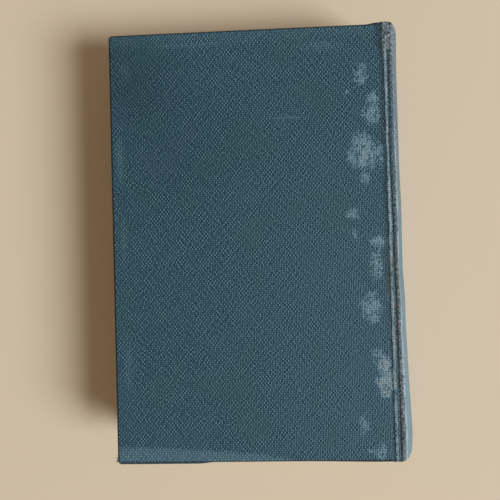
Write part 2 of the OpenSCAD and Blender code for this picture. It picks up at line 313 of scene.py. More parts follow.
def coverWearAndShading(x, y, depth, onFace, side):   # depth is below the face, less the groove's own
    isBack, rowX, half = side > 0, x + hingeX, book["coverH"] / 2
    rub = np.zeros_like(x)
    for place in wearAndShade["rubs"] if isBack else wearAndShade["frontRubs"]:
        end = wearAndShade["overEnd"] if place[4] > wearAndShade["overJoint"] else wearAndShade["rubEnd"]
        rub = highest(rub, spot(rowX, y, place, *wearAndShade["rubSoft"]) * smooth(x, end, end - 0.8))
    reach = readKnots(wearAndShade["band"], rowX, right=-2)
    band = smooth(y + half, reach + 1.2, reach - 1.0) * (rowX < wearAndShade["bandEnd"]) * isBack
    band = highest(band, 0.45 * smooth(y, half - 9, half - 3))
    for place in wearAndShade["scuffs"]:
        band = highest(band, isBack * spot(rowX, y, place, 0.2, 1.3))
    shade = sum(spot(rowX, y, place, 0.0, 1.3) for place in wearAndShade["shades"])
    edge = np.minimum(half - np.abs(y), x + book["coverW"])
    corner = smooth(half - np.abs(y), 6, 1) * smooth(x + book["coverW"], 6, 1) * smooth(depth, 0.1, 0.8)
    corner *= 0.9 * (0.35 if isBack else 1)

    # lines along the joint, which fade or widen towards the tail
    low = smooth(y, -30, -60)
    x = x + wander(y)
    # the crest's pale line: rubbed threads, with a painted highlight where the crest faces the light
    crest = streak(x, case["crestX"] + 0.12 + 0.2 * low, 0.66 + 0.1 * low) * smooth(y, 88, 84)
    crest *= (0.92 - 0.25 * low) * (1 + 0.5 * softNoise(y, 4, 3, 33))
    # grime and painted shade: dark lines in the groove beside the board and in the crease, and a dark outline
    # along the cover's edges
    soil = (1.0 - 0.15 * low) * streak(x, -1.75 + 0.4 * low, 1.0 - 0.3 * low)
    soil *= smooth(x, -0.5 + 0.3 * low, -1.0 + 0.3 * low)
    soil = highest(soil, 0.55 * streak(x, creaseX(y), 0.5)) * (1 + 0.35 * softNoise(y, 6, 4, 38))
    soil = highest(soil, 1.4 * streak(x, wearAndShade["grooveLine"], 0.5) * smooth(y, 72, 80),
                   0.6 * smooth(y, 78, 88) * smooth(x, -7, -3.5) * smooth(x, -1.1, -1.6),
                   1.35 * smooth(edge, 1.05, 0.55))
    beside = 0.45 * streak(x, wearAndShade["grooveLine"], 0.6) * smooth(softNoise(y, 2, 9, 36), -0.2, 0.5)
    brown = highest(0.7 * streak(x, creaseX(y), 0.7), beside) * brownGround(y)
    worn = smooth(y, *wearAndShade["headY"]) * smooth(x, -1.4, -0.9)
    return {"rub": rub * onFace, "band": band * onFace, "edgeRub": highest(crest, corner),
            "soil": soil, "brown": brown, "worn": worn, "shade": shade, "fade": np.zeros_like(x)}


# the spine's wear, with painted shade, painted highlights and painted light on its faded side
def spineWearAndShading(points):
    x, y, z = points.T
    half = book["coverH"] / 2
    x = x - (cocked(points)[:, 0] - x) + wander(y)
    crease = creaseX(y)
    near = np.abs(z) > 8   # beside the covers, and not on the round
    aside = smooth(x, book["ridgeX"] + 0.6, book["ridgeX"] + 1.5)   # past the ridge, where the cloth is faded by sun and also painted lighter as if lit
    head, tail = smooth(y, *wearAndShade["headY"]) * smooth(x, 3.6, 3.0), smooth(y, *wearAndShade["tailY"])
    ground = 0.7 * smooth(x, 1.5, 1.9) * smooth(x, 3.6, 2.9) * near
    ends = smooth(np.abs(y), half - 3.0, half - 1) * smooth(x, 3.2, 5)
    # painted highlight along the spine's shoulder, where its side turns to the light
    shoulderHighlight = streak(x, 3.6, 0.45) * near * (0.8 + 0.5 * softNoise(y, 9, 5, 35)) * (1 - 0.6 * smooth(y, 40, 70))
    streaked = smooth(x, crease + 0.2, crease + 0.8) * smooth(x, 4.0, 3.2) * near
    streaked = streaked * (0.7 + 0.22 * tail) * (0.8 + 0.3 * softNoise(y, 5, 7, 44))
    worn = highest(head, streaked, (0.25 + 0.45 * smooth(y, 30, 88)) * aside * smooth(y, -40, 30),
                   0.6 * smooth(y, -90.5, -94.5) * smooth(x, 2.0, 3.0))
    # grime and painted shade in the spine's crease and along its head
    soil = highest(0.65 * streak(x, crease + 0.1, 0.4) * near,
                   1.1 * smooth(y, half - 1.6, half - 0.8) * smooth(x, 4.5, 3.0))
    shade = highest(aside * (0.45 * smooth(y, -60, 0) + 0.5 * smooth(y, 10, 60)),
                    0.5 * smooth(y, 40, 84) * smooth(x, 4.0, 3.3) * smooth(x, 1.2, 1.8))
    brown = highest(0.8 * streak(x, crease, 0.7), ground) * (brownGround(y) * near)
    return {"rub": np.zeros_like(x), "band": np.zeros_like(x), "edgeRub": highest(0.6 * ends, shoulderHighlight),
            "soil": soil, "brown": brown, "worn": worn, "shade": shade, "fade": aside}


# Cloth over the covers
cover = {
    "inset": 1.7, "topR": 1.2, "lowR": 0.5, "turnIn": 15,
    "grooveT": 0.85,          # cloth and turn-in together, past the board
    "boardX": (-1.5, -2.1),   # over these X the edge grows to the board's thickness
    "openFrom": -6,           # from here to the joint the rows keep their places in the turn-ins
    "swell": 0.10, "waves": ((34, 21, 0.6), (13, 22, 0.4)),   # of the board's face: size, seed, share
    "bruise": 0.6, "bruiseX": (-79, -86),   # the tail edge is pushed out near the fore-edge
    "rows": 128, "steps": (74, 7, 20), "lastSteps": 12,
    "bend": (-1.5, 0.6),      # where the cloth bends as the cover opens; passed on, but only its presence is read
}


def coverFace(side):   # the outer face: points, their places on the flat cloth, rows and columns
    inset, width, half = cover["inset"], book["coverW"], book["coverH"] / 2
    stops = (-width + inset, cover["openFrom"], case["boardEdge"], case["crestX"])
    runs = [np.linspace(a, b, n) for a, b, n in zip(stops, stops[1:], cover["steps"])]
    flat = np.concatenate([stops[:1]] + [run[1:] for run in runs])
    last = np.linspace(0, 1, cover["lastSteps"])[1:]
    points, lay = [], []
    for y in np.linspace(-half + inset, half - inset, cover["rows"]):
        x = np.concatenate([flat, case["crestX"] + last * (float(creaseX(y)) - case["crestX"])])
        wave = sum(share * softNoise(x, y, size, seed) for size, seed, share in cover["waves"])
        lift = wave + 0.6 if side > 0 else np.minimum(wave - 0.6, 0) - 0.3   # the front's only go inwards
        fade = smooth(x, -2.5, -8) * smooth(x, -width, -width + 6)
        z = book["outZ"] - caseDepth(x, y) + lift * cover["swell"] * fade
        points.append(rowAt(y, x, z))
        lay.append(rowAt(y, wayAlong(x, z) - (width - inset)))
    return np.vstack(points), np.vstack(lay), len(points), len(points[0])


def edgeTrack(rows, count):   # the way round the outer edges: (point, way out, kind)
    turns = np.radians([18, 36, 54, 72])
    first = (rows - 1) * count
    track = [(first + k, (0, 1), "end") for k in reversed(range(count))]
    track += [(first, (-math.sin(a), math.cos(a)), "corner") for a in turns]
    track += [(r * count, (-1, 0), "fore") for r in reversed(range(rows))]
    track += [(0, (-math.cos(a), -math.sin(a)), "corner") for a in turns]
    return track + [(k, (0, -1), "end") for k in range(count)]


def edgeProfile(t):   # (distance in from the edge, depth, way along) over an edge of thickness t
    topR, lowR = min(cover["topR"], t / 2), min(cover["lowR"], t / 2)
    p = [(cover["inset"], 0)]
    p += [(topR - topR * math.sin(a), topR - topR * math.cos(a)) for a in np.linspace(0, math.pi / 2, 7)]
    p += [(0, topR + (t - lowR - topR) * k / 3) for k in (1, 2)]
    p += [(lowR - lowR * math.cos(a), t - lowR + lowR * math.sin(a)) for a in np.linspace(0, math.pi / 2, 5)]
    p += [(d, t) for d in (1.1, cover["inset"], 3, 5, 8, 11, 13, cover["turnIn"])]
    distance, depth = np.array(p, float).T
    return zip(distance, depth, wayAlong(distance, depth))


def edgePlace(kind, x, y, out, d):   # where the cloth lies at distance d in from the edge
    inset, width, half, start = cover["inset"], book["coverW"], book["coverH"] / 2, cover["openFrom"]
    if kind == "end":
        k = (width + start - d) / (width + start - inset) if d > inset else 1
        return (x if x > start else start - (start - x) * k), math.copysign(half - d, y)
    if kind == "fore":
        return -width + d, (y * (half - d) / (half - inset) if d > inset else y)
    reach, past = max(inset - d, 0), max(d - inset, 0)
    return x + out[0] * reach + past, y + out[1] * reach - math.copysign(past, y)


def buildCoverCloth(name, side, body):
    half = book["coverH"] / 2
    points, lay, rows, count = coverFace(side)
    rings, layRings = [], []
    track = edgeTrack(rows, count)
    for k, out, kind in track:
        x, y, z = points[k]
        t = cover["grooveT"] + (book["coverT"] - cover["grooveT"]) * float(smooth(x, *cover["boardX"]))
        for d, depth, way in edgeProfile(t):
            rings.append((*edgePlace(kind, x, y, out, d), z - depth))
            layRings.append((lay[k][0] + out[0] * way, lay[k][1] + out[1] * way, 0))
    base = len(points)
    faces = flipped(gridFaces(rows, count))
    faces += [tuple(base + v for v in f) for f in flipped(gridFaces(len(track), len(rings) // len(track)))]
    points, lay = np.vstack([points, rings]), np.vstack([lay, layRings])

    points, faces, layers = weld(points, faces, {"clothLay": lay})
    bruised = cover["bruise"] * smooth(points[:, 1], -half + 5, -half)
    points[:, 1] -= bruised * smooth(points[:, 0], *cover["bruiseX"])
    if side > 0:
        atEnd = smooth(np.abs(points[:, 1]), half - 8, half)
        points[:, 1] -= np.sign(points[:, 1]) * capEnd(np.minimum(points[:, 0], 2.2), points[:, 1]) * atEnd
    points = cocked(points)
    x, y, z = points.T
    depth = book["outZ"] - z
    layers.update(coverWearAndShading(x, y, depth - caseDepth(x, y), smooth(depth, 2.4, 0.8), side))
    makePiece(name, *thicken(points, faces, layers, book["cloth"]), bookCloth, "book_cloth", body,
              body.replace("cover", "cloth"), side, cover["bend"])


# Cloth over the spine
spine = {
    "inlayT": 1.4, "inlayX": (1.5, 2.5),   # cloth, strip and turn-in together; the strip starts over these X
    "turnIn": 15, "rows": 118, "layFrom": 2.6,
}


def spineColumn(x):   # (y, depth, way) along the spine at x, with both turned-in ends
    half = book["coverH"] / 2
    t = cover["grooveT"] + (spine["inlayT"] - cover["grooveT"]) * float(smooth(x, *spine["inlayX"]))
    r = t / 2
    p = [(half - r + r * math.sin(a), r - r * math.cos(a)) for a in np.linspace(0, math.pi, 9)]
    p += [(half - d, t) for d in (2.4, 5, 8, 11, spine["turnIn"])]
    ys, depth = np.array(p).T
    head = list(zip(ys, depth, half - r + wayAlong(ys, depth)))
    tail = [(-y, d, -way) for y, d, way in reversed(head)]
    return tail + [(y, 0, y) for y in np.linspace(-half + 1.2, half - 1.2, spine["rows"])] + head


def buildSpineCloth():
    half = book["coverH"] / 2
    columns = [spineColumn(x) for x, z in spinePath(0)]
    points, lay = [], []
    for cells in zip(*columns):
        path = spinePath(float(np.clip(cells[0][0], -half, half)))
        normals, way = pathNormals(path), wayAlong(*path.T)
        for k, (y, depth, layY) in enumerate(cells):
            x, z = path[k] + normals[k] * depth
            dip = float(capEnd(path[k][0], y))
            points.append((x, y * (half - dip) / half, z))
            lay.append((way[k] + spine["layFrom"], layY, 0))
    points = cocked(np.array(points))
    layers = {"clothLay": np.array(lay), **spineWearAndShading(points)}
    faces = flipped(gridFaces(len(columns[0]), len(columns)))
    makePiece("spineCloth", *thicken(points, faces, layers, book["cloth"]), bookCloth, "book_cloth",
              "book_block", "spine_cloth")


# Loose thread ends at worn corners
frays = {
    "back": [   # X, y, way in degrees, length
        (-64.9, -93.9, -165, 1.5), (-65.0, -93.3, -178, 1.2), (-64.8, -94.3, -150, 1.3),
        (-65, -92.7, 176, 0.9), (-64.9, -94, -135, 0.9), (-65, -91.9, 170, 0.7), (-64.9, 94.2, 150, 0.7)],
    "front": [
        (-64.9, -94.2, -150, 1.4), (-65.1, -93.1, 178, 1.1), (-64.9, 94.1, 140, 1.5), (-65.1, 93.3, 172, 1)],
    "radius": 0.27, "depth": 1.0, "root": 0.8, "curl": 0.42, "rings": 7, "sides": 5, "seed": 90,
}


def buildFrays(name, side, body):
    points, faces = [], []
    rings, sides = frays["rings"], frays["sides"]
    for k, (x, y, way, length) in enumerate(frays["back" if side > 0 else "front"]):
        rng = np.random.default_rng(frays["seed"] + k)
        base, lift = k * rings * sides, rng.uniform(-0.5, 0.3)
        for i in range(rings):
            s = i / (rings - 1)
            a = math.radians(way) + frays["curl"] * (s - 0.3) * rng.choice((-1, 1))
            reach = -frays["root"] + s * (length + frays["root"])
            centre = np.array([x - hingeX, y, book["outZ"] - frays["depth"] + lift * s])
            r = frays["radius"] * (1 - 0.75 * s)
            along, across = np.array([math.cos(a), math.sin(a), 0]), np.array([-math.sin(a), math.cos(a), 0])
            for b in (2 * math.pi * c / sides for c in range(sides)):
                points.append(centre + reach * along + r * math.cos(b) * across + (0, 0, r * math.sin(b)))
        ends = [tuple(range(sides)), tuple(reversed(range((rings - 1) * sides, rings * sides)))]
        faces += [tuple(base + v for v in f) for f in flipped(tubeFaces(rings, sides) + ends)]
    points = np.array(points)
    makePiece(name, points, faces, {"lay": points}, frayedThread, "book_cloth", body, side=side)


# Strip under the spine cloth
inlay = {"t": 0.55, "clear": 0.03, "short": 0.6, "rows": 60}


def buildInlay():
    half = book["coverH"] / 2 - inlay["short"]
    rows = []
    for y in np.linspace(-half, half, inlay["rows"]):
        path = spinePath(float(y), jointSteps)
        x, z = (path + pathNormals(path) * (book["cloth"] + inlay["clear"])).T
        rows.append(np.stack([x, y * (half - capEnd(path[:, 0], y)) / half, z], 1))
    points = cocked(np.vstack(rows))
    faces = flipped(gridFaces(len(rows), len(rows[0])))
    makePiece("spineInlay", *thicken(points, faces, {"lay": points}, inlay["t"]), boardStock, "binders_board",
              "book_block", "spine_inlay")


# Endpapers and the mull's wings
paper = {
    "t": 0.15, "in": 0.5, "restZ": 10.75, "flatTo": -1.85, "bend": (-1.3, 0.2), "rows": 60,
    "clear": 0.02, "cutBack": 0.1, "uneven": 0.12,      # the flyleaf: off the leaves, and at its fore-edge
    "wellHalf": 80, "wellFore": -107.2, "rise": 0.40,   # inside the turn-ins the paper lies on the board
    "wingFore": -29.8, "wingRise": 0.15,                # and over the mull's wing it stands up again
    "wingT": 0.18, "wingZ": 11.08, "wingHalf": 78.9, "wingFlatTo": -1.9,
    "joint": [   # the paper through the joint: X, Z over the mull's wing, Z past its ends
        (-1.62, 10.98, 10.86), (-1.52, 11.4, 11.2), (-1.42, 11.85, 11.6), (-1.25, 12.08, 11.9),
        (-0.9, 12.17, 12), (-0.5, 12.23, 12.1), (-0.1, 12.28, 12.2),
        (0.2, 12.3, 12.24), (0.34, 12.27, 12.26)],
    "wingJoint": [   # the mull through the joint: X, Z
        (-1.6, 11.2), (-1.42, 11.5), (-1.32, 12), (-1.15, 12.25), (-0.8, 12.34), (-0.4, 12.4), (-0.1, 12.45)],
}


def pasteFace(x, y):   # the pastedown's visible face, over the turn-ins, the board and the mull's wing
    well = smooth(np.abs(y), paper["wellHalf"] - 0.1, paper["wellHalf"] - 1.3)
    well = well * smooth(x, paper["wellFore"] + 0.1, paper["wellFore"] + 1.3)
    wing = smooth(x, paper["wingFore"] - 0.9, paper["wingFore"] + 0.1)
    ripple = 0.03 * softNoise(x, y, 17, 61) * well
    return paper["restZ"] + well * (paper["rise"] + (paper["wingRise"] - paper["rise"]) * wing) + ripple, well


def buildPastedown(name, side, body):
    half = book["leavesH"] / 2 - paper["in"]
    steps = np.array([paper["wellHalf"] - k for k in (0, 0.4, 0.8, 1.2)])
    ys = np.unique(np.concatenate([np.linspace(-half, half, 64), steps, -steps]))
    xs = np.unique(np.concatenate([
        np.linspace(book["leafX"] + paper["in"], paper["flatTo"], 80),
        [paper["wellFore"] + k for k in (0.1, 0.5, 0.9, 1.3)],
        [paper["wingFore"] + k for k in (-0.9, -0.4, 0.1)]]))
    jointX, jointHigh, jointLow = np.array(paper["joint"]).T
    x = np.concatenate([xs, jointX])
    points, lay = [], []
    for y in ys:
        z, well = pasteFace(xs, y)
        z = np.concatenate([z, jointLow + (jointHigh - jointLow) * float(well[len(xs) // 2])])
        points.append(rowAt(y, x, z))
        lay.append(rowAt(y, wayAlong(x, z)))
    sheet = thicken(np.vstack(points), gridFaces(len(ys), len(x)), {"lay": np.vstack(lay)}, paper["t"])
    node = body.replace("cover", "pastedown")
    makePiece(name, *sheet, endPaper, "endpaper", body, node, side, paper["bend"])


def buildFlyleaf(name, side, node):
    half, t = book["leavesH"] / 2, paper["t"]
    slope = np.array([book["tipX"] - book["footX"], book["tipZ"] - book["leafZ"]])
    off = t * np.array([-slope[1], slope[0]]) / np.linalg.norm(slope)
    top = book["leafZ"] + t
    bendX = book["footX"] + off[0] + (t - off[1]) * slope[0] / slope[1]
    tipX, tipZ = book["tipX"] + off[0], book["tipZ"] + off[1]
    x = np.concatenate([np.linspace(book["leafX"], bendX - 0.6, 70), [bendX - 0.25, bendX]])
    x = np.concatenate([x, bendX + (tipX - bendX) * np.array([0.33, 0.66, 1])])
    z = np.where(x > bendX, top + (tipZ - top) * (x - bendX) / (tipX - bendX), top)
    rows = []
    for y in np.linspace(-half, half, paper["rows"]):
        row = rowAt(y, x, z)
        row[0, 0] += paper["cutBack"] + paper["uneven"] * float(softNoise(y, 2, 11, 71))
        rows.append(row)
    points = np.vstack(rows)
    sheet = thicken(points, flipped(gridFaces(len(rows), len(x))), {"lay": points}, t - paper["clear"])
    makePiece(name, *sheet, endPaper, "endpaper", "book_block", node, side)


def buildMullWing(name, side, body):
    flat = [(x, paper["wingZ"]) for x in np.linspace(paper["wingFore"] + 0.1, paper["wingFlatTo"], 24)]
    x, z = np.array(flat + paper["wingJoint"]).T
    ys = np.linspace(-paper["wingHalf"], paper["wingHalf"], paper["rows"])
    points = np.vstack([rowAt(y, x, z) for y in ys])
    lay = np.vstack([rowAt(y, wayAlong(x, z)) for y in ys])
    sheet = thicken(points, gridFaces(len(ys), len(x)), {"lay": lay}, paper["wingT"])
    makePiece(name, *sheet, gauze, "mull", body, body.replace("cover", "mull_wing"), side, paper["bend"])


# The leaves
pages = {
    "rows": 168, "signatures": 14, "jitter": 0.06, "foldJitter": 0.09, "seed": 31,
    "trim": 0.12, "proud": 0.1, "foreProud": 0.05,   # cut off head and tail; how far a leaf may stand out
    "foldIn": 0.35,                                  # hollows between the folds, on the back
    "kerfs": 6, "kerfW": 0.6, "kerfIn": 0.62, "kerfSpan": 0.94 * 158,   # cuts for the sewing thread
}
backRise = book["backBulge"] - book["tipX"] - book["tipFlat"]
backR = (book["tipZ"] ** 2 + backRise ** 2) / (2 * backRise)
backX = book["backBulge"] - backR
foreR = (book["leafZ"] ** 2 + book["foreHollow"] ** 2) / (2 * book["foreHollow"])


def leafHeight(x, t):   # t is the leaf's place in the block, from -1 to 1
    rise, outer = (book["tipZ"] - book["leafZ"]) * t, abs(t) ** 5
    shoulder = float(smooth(x, book["footX"] - 0.9, book["tipX"])) if x > -2 else 0
    spread = float(smooth(x, -14, book["tipX"])) * 0.9
    return book["leafZ"] * t + rise * outer * shoulder + rise * (1 - outer) * spread


def leafLoop(t, uneven, ys, inKerf, xShare):   # one leaf's outline, up the fore-edge and round
    half = book["leavesH"] / 2
    fold = abs(2 * ((t + 1) / 2 * pages["signatures"] % 1) - 1) ** 3
    fore = book["leafX"] + book["foreHollow"] - foreR + math.sqrt(foreR ** 2 - (book["leafZ"] * t) ** 2)
    fore += max(-pages["foreProud"], uneven[0]) if abs(t) < 0.999 else pages["foreProud"]
    back = backX + math.sqrt(backR ** 2 - (book["tipZ"] * t) ** 2) - pages["foldIn"] * fold * (abs(t) < 0.99)
    top = half - pages["trim"] + min(pages["proud"], uneven[1])
    low = -half + pages["trim"] - min(pages["proud"], uneven[2])
    xs = fore + xShare * (back - fore)
    ys = ys * (top - low) / (2 * half) + (top + low) / 2
    loop = [(fore, y) for y in ys] + [(x, top) for x in xs[1:]]
    loop += [(back - pages["kerfIn"] * kerf, y) for y, kerf in list(zip(ys, inKerf))[-2::-1]]
    loop += [(x, low) for x in xs[-2:0:-1]]
    return [(x, y, leafHeight(x, t)) for x, y in loop], [(x, y, t * book["leafZ"]) for x, y in loop]


def outerLeaf(points, start, ny, nx):   # fills the outline that begins at start: new points, faces
    ring = np.arange(start, start + 2 * (ny + nx) - 4)
    grid = np.zeros((ny, nx), int)
    grid[:, 0] = ring[:ny]
    grid[-1, :] = ring[ny - 1:ny + nx - 1]
    grid[:, -1] = ring[ny + nx - 2:2 * ny + nx - 2][::-1]
    grid[0, 1:] = ring[2 * ny + nx - 3:][::-1]
    grid[1:-1, 1:-1] = len(points) + np.arange((ny - 2) * (nx - 2)).reshape(ny - 2, nx - 2)
    inside = [(points[i][0], points[j][1], points[i][2]) for j in grid[1:-1, 0] for i in grid[0, 1:-1]]
    cells = np.stack([grid[:-1, :-1], grid[:-1, 1:], grid[1:, 1:], grid[1:, :-1]], -1).reshape(-1, 4)
    return inside, [tuple(f) for f in cells.tolist()]


def buildLeaves():
    half, count = book["leavesH"] / 2, pages["kerfs"]
    kerfs = [pages["kerfSpan"] * (i / (count - 1) - 0.5) for i in range(count)]
    edges = [k + s * pages["kerfW"] / 2 for k in kerfs for s in (-1.02, -0.98, 0.98, 1.02)]
    ys = np.unique(np.concatenate([np.linspace(-half, half, 40), edges]))
    inKerf = [min(abs(y - k) for k in kerfs) < pages["kerfW"] / 2 for y in ys]
    xShare = np.concatenate([np.linspace(0, 0.93, 24), np.linspace(0.94, 1, 22)])
    rng = np.random.default_rng(pages["seed"])
    rows = pages["rows"] + 1
    leafJitter = rng.normal(0, pages["jitter"], (rows, 3))
    foldJitter = rng.normal(0, pages["foldJitter"], (pages["signatures"] + 1, 3))
    points, lay = [], []
    for i, t in enumerate(np.linspace(-1, 1, rows)):
        fold = min(int((t + 1) / 2 * pages["signatures"]), pages["signatures"] - 1)
        loop, layLoop = leafLoop(t, leafJitter[i] + foldJitter[fold], ys, inKerf, xShare)
        points += loop
        lay += layLoop
    size = len(loop)
    faces = tubeFaces(rows, size)
    for start in (0, (rows - 1) * size):   # the two outer leaves close the block
        inside, leafFaces = outerLeaf(points, start, len(ys), len(xShare))
        points += inside
        lay += inside
        faces += leafFaces if start else flipped(leafFaces)
    makePiece("pageBlock", points, faces, {"lay": lay}, pageEdges, "text_paper", "book_block", "leaves",
              soft=False)


# Head and tail bands
bands = {
    "d": 1.6, "tailW": 10, "tailT": 0.3, "sunk": 0.03,   # the cord, and the cloth tail that holds it
    "stitch": 0.62, "swell": 0.14, "clear": 2,           # the silk's turns, and degrees free of the shoulders
    "sides": 14, "arcs": 40,
}


def buildBand(name, sign, node):
    half, d, sides, arcs = book["leavesH"] / 2, bands["d"], bands["sides"], bands["arcs"]
    turn = math.asin(book["tipZ"] / backR) - math.radians(bands["clear"])
    beadR, tailR = backR + 0.6 * bands["tailT"] - d / 2, backR + bands["tailT"]
    rings = int(2 * turn * beadR / bands["stitch"]) * 6 + 1   # six rings of points to a stitch
    points, stitch = [], []
    for i in range(rings):
        a = -turn + 2 * turn * i / (rings - 1)
        swell = 0.5 + 0.5 * math.cos(2 * math.pi * i / 6)
        r = (d / 2 - bands["swell"] * swell) * (1 if 0 < i < rings - 1 else 0.25)
        for b in (2 * math.pi * k / sides for k in range(sides)):
            reach = beadR + r * math.cos(b)
            y = sign * (half + d / 2 + r * math.sin(b))
            points.append((backX + reach * math.cos(a), y, reach * math.sin(a)))
            stitch.append(i / 6)
    ends = [tuple(range(sides)), tuple(reversed(range((rings - 1) * sides, rings * sides)))]
    faces = tubeFaces(rings, sides) + ends
    angles = -turn + 2 * turn * np.arange(arcs + 1) / arcs
    ys = np.linspace(half + d * 0.6, half - bands["tailW"], 8)
    tail = np.vstack([rowAt(sign * y, backX + tailR * np.cos(angles), tailR * np.sin(angles)) for y in ys])
    tailFaces = gridFaces(len(ys), arcs + 1)
    if sign < 0:
        faces, tailFaces = flipped(faces), flipped(tailFaces)
    tail, tailFaces, _ = thicken(tail, tailFaces, {}, bands["tailT"] - bands["sunk"])
    faces += [tuple(v + len(points) for v in f) for f in tailFaces]
    points = np.vstack([points, tail])
    stitch = np.concatenate([stitch, np.full(len(tail), -1.0)])   # -1 marks the cloth tail
    layers = {"lay": points, "stitch": stitch}
    makePiece(name, points, faces, layers, bandSilk, "end_band", "book_block", node)


# Material helpers: a value is a plain one or another node's output
def feed(tree, sockets, values):
    for key, value in values.items():
        if isinstance(value, bpy.types.NodeSocket):
            tree.links.new(value, sockets[key])
        else:
            sockets[key].default_value = value


def addNode(tree, kind, values=None, **settings):
    node = tree.nodes.new(kind)
    for key, value in settings.items():
        setattr(node, key, value)
    feed(tree, node.inputs, values or {})
    return node


def calc(tree, operation, *values, clamp=False):
    values = dict(enumerate(values))
    return addNode(tree, "ShaderNodeMath", values, operation=operation, use_clamp=clamp).outputs[0]


def times(tree, value, *factors, clamp=False):
    for factor in factors:
        value = calc(tree, "MULTIPLY", value, factor, clamp=clamp)
    return value


def scaled(tree, value, factor, offset, clamp=False):   # value * factor + offset
    return calc(tree, "MULTIPLY_ADD", value, factor, offset, clamp=clamp)


def sway(tree, base, value, amount, middle=0.5, clamp=False):   # base + amount * (value - middle)
    return scaled(tree, calc(tree, "SUBTRACT", value, middle), amount, base, clamp)


def ramp(tree, value, low, high, outLow=0.0, outHigh=1.0):   # a smooth step between two values
    return addNode(tree, "ShaderNodeMapRange", {
        "Value": value, "From Min": low, "From Max": high, "To Min": outLow, "To Max": outHigh,
    }, interpolation_type="SMOOTHSTEP").outputs["Result"]


def mixColour(tree, factor, a, b):
    return addNode(tree, "ShaderNodeMix", {0: factor, 6: a, 7: b}, data_type="RGBA").outputs[2]


def vectorCalc(tree, operation, a, b):   # b is the factor of a SCALE
    values = {0: a, "Scale" if operation == "SCALE" else 1: b}
    return addNode(tree, "ShaderNodeVectorMath", values, operation=operation).outputs[0]


def split(tree, vector):
    return addNode(tree, "ShaderNodeSeparateXYZ", {0: vector}).outputs


def join(tree, x, y, z=0.0):
    return addNode(tree, "ShaderNodeCombineXYZ", {0: x, 1: y, 2: z}).outputs[0]


def noiseOf(tree, vector, scale, detail=2.0, rough=0.5, stretch=None, field="Fac"):
    if stretch:
        vector = vectorCalc(tree, "MULTIPLY", vector, stretch)
    values = {"Vector": vector, "Scale": scale, "Detail": detail, "Roughness": rough}
    return addNode(tree, "ShaderNodeTexNoise", values).outputs[field]


def readLayer(tree, name, field="Fac"):
    return addNode(tree, "ShaderNodeAttribute", attribute_name=name, attribute_type="GEOMETRY").outputs[field]


def objectPlace(tree):   # the place in the book's frame, in millimetres
    return vectorCalc(tree, "SCALE", addNode(tree, "ShaderNodeTexCoord").outputs["Object"], 1 / mm)


def startGroup(name, values, outputs):   # a group takes Lay, a place in millimetres, and these values
    tree = bpy.data.node_groups.new(name, "ShaderNodeTree")
    tree.interface.new_socket("Lay", in_out="INPUT", socket_type="NodeSocketVector")
    for label, default in values.items():
        socket = tree.interface.new_socket(label, in_out="INPUT", socket_type="NodeSocketFloat")
        socket.default_value = default
    for label in outputs:
        tree.interface.new_socket(label, in_out="OUTPUT", socket_type="NodeSocketFloat")
    return tree, tree.nodes.new("NodeGroupInput").outputs, tree.nodes.new("NodeGroupOutput").inputs


def useGroup(tree, group, **values):
    return addNode(tree, "ShaderNodeGroup", values, node_tree=group).outputs


def speckled(tree, colour, lay, size, share, amount, spots):   # lays scattered spots over a colour
    mask = useGroup(tree, specks, Lay=lay, Size=size, Share=share)["Mask"]
    return mixColour(tree, times(tree, mask, amount), colour, spots)


def startMaterial(name):
    material = bpy.data.materials.new(name)
    material.use_nodes = True
    return material, material.node_tree


def coat(tree, colour, roughness, specular=0.5, bump=None):   # bump: its height, distance in mm, strength
    values = {"Base Color": colour, "Roughness": roughness, "Specular IOR Level": specular}
    if bump:
        relief = {"Height": bump[0], "Distance": bump[1] * mm, "Strength": bump[2]}
        values["Normal"] = addNode(tree, "ShaderNodeBump", relief).outputs["Normal"]
    feed(tree, tree.nodes["Principled BSDF"].inputs, values)


# Node groups
def makeWeaveGroup():   # threads that pass over and under each other
    tree, given, give = startGroup("plainWeave", {"PitchX": 0.735, "PitchY": 0.94, "Wander": 0.25},
                                   ("Height", "Over", "Tone", "Cell", "Rib", "Weft"))
    shifts = []
    for scale, detail, amount in ((0.11, 1.5, 3.0), (0.7, 1.0, 0.6)):   # a slow and a quick wander
        stray = noiseOf(tree, given["Lay"], scale, detail, field="Color")
        stray = vectorCalc(tree, "SUBTRACT", stray, (0.5, 0.5, 0.5))
        shifts.append(vectorCalc(tree, "SCALE", stray, times(tree, given["Wander"], amount)))
    parts = split(tree, vectorCalc(tree, "ADD", given["Lay"], vectorCalc(tree, "ADD", *shifts)))
    u = calc(tree, "DIVIDE", parts["X"], given["PitchX"])
    v = calc(tree, "DIVIDE", parts["Y"], given["PitchY"])
    cross = times(tree, *[calc(tree, "SINE", times(tree, w, math.pi)) for w in (u, v)])
    over = scaled(tree, cross, 1.6, 0.5, clamp=True)
    tones = []                                 # each thread's own tone, which changes slowly along it
    for w, along, start in ((u, parts["Y"], 0.0), (v, parts["X"], 40.0)):
        place = join(tree, times(tree, calc(tree, "FLOOR", w), 3.17), times(tree, along, 0.09), start)
        tones.append(noiseOf(tree, place, 1.0, 1.0))
    under = times(tree, tones[1], calc(tree, "SUBTRACT", 1.0, over))
    cell = 0.5                                 # each crossing against its neighbours, so that no patches form
    for i, j, sign in ((0.0, 0.0, 0.5), (1.0, 0.0, -0.5), (0.0, 1.0, -0.5), (1.0, 1.0, 0.5)):
        place = join(tree, *[calc(tree, "FLOOR", calc(tree, "ADD", w, k)) for w, k in ((u, i), (v, j))])
        chance = addNode(tree, "ShaderNodeTexWhiteNoise", {"Vector": place}).outputs["Value"]
        cell = scaled(tree, chance, sign, cell)
    feed(tree, give, {
        "Height": calc(tree, "POWER", calc(tree, "ABSOLUTE", cross), 0.5), "Over": over, "Cell": cell,
        "Tone": calc(tree, "ADD", times(tree, tones[0], over), under),
        "Rib": calc(tree, "COSINE", times(tree, u, 2 * math.pi)),
        "Weft": calc(tree, "COSINE", times(tree, v, 2 * math.pi))})
    return tree


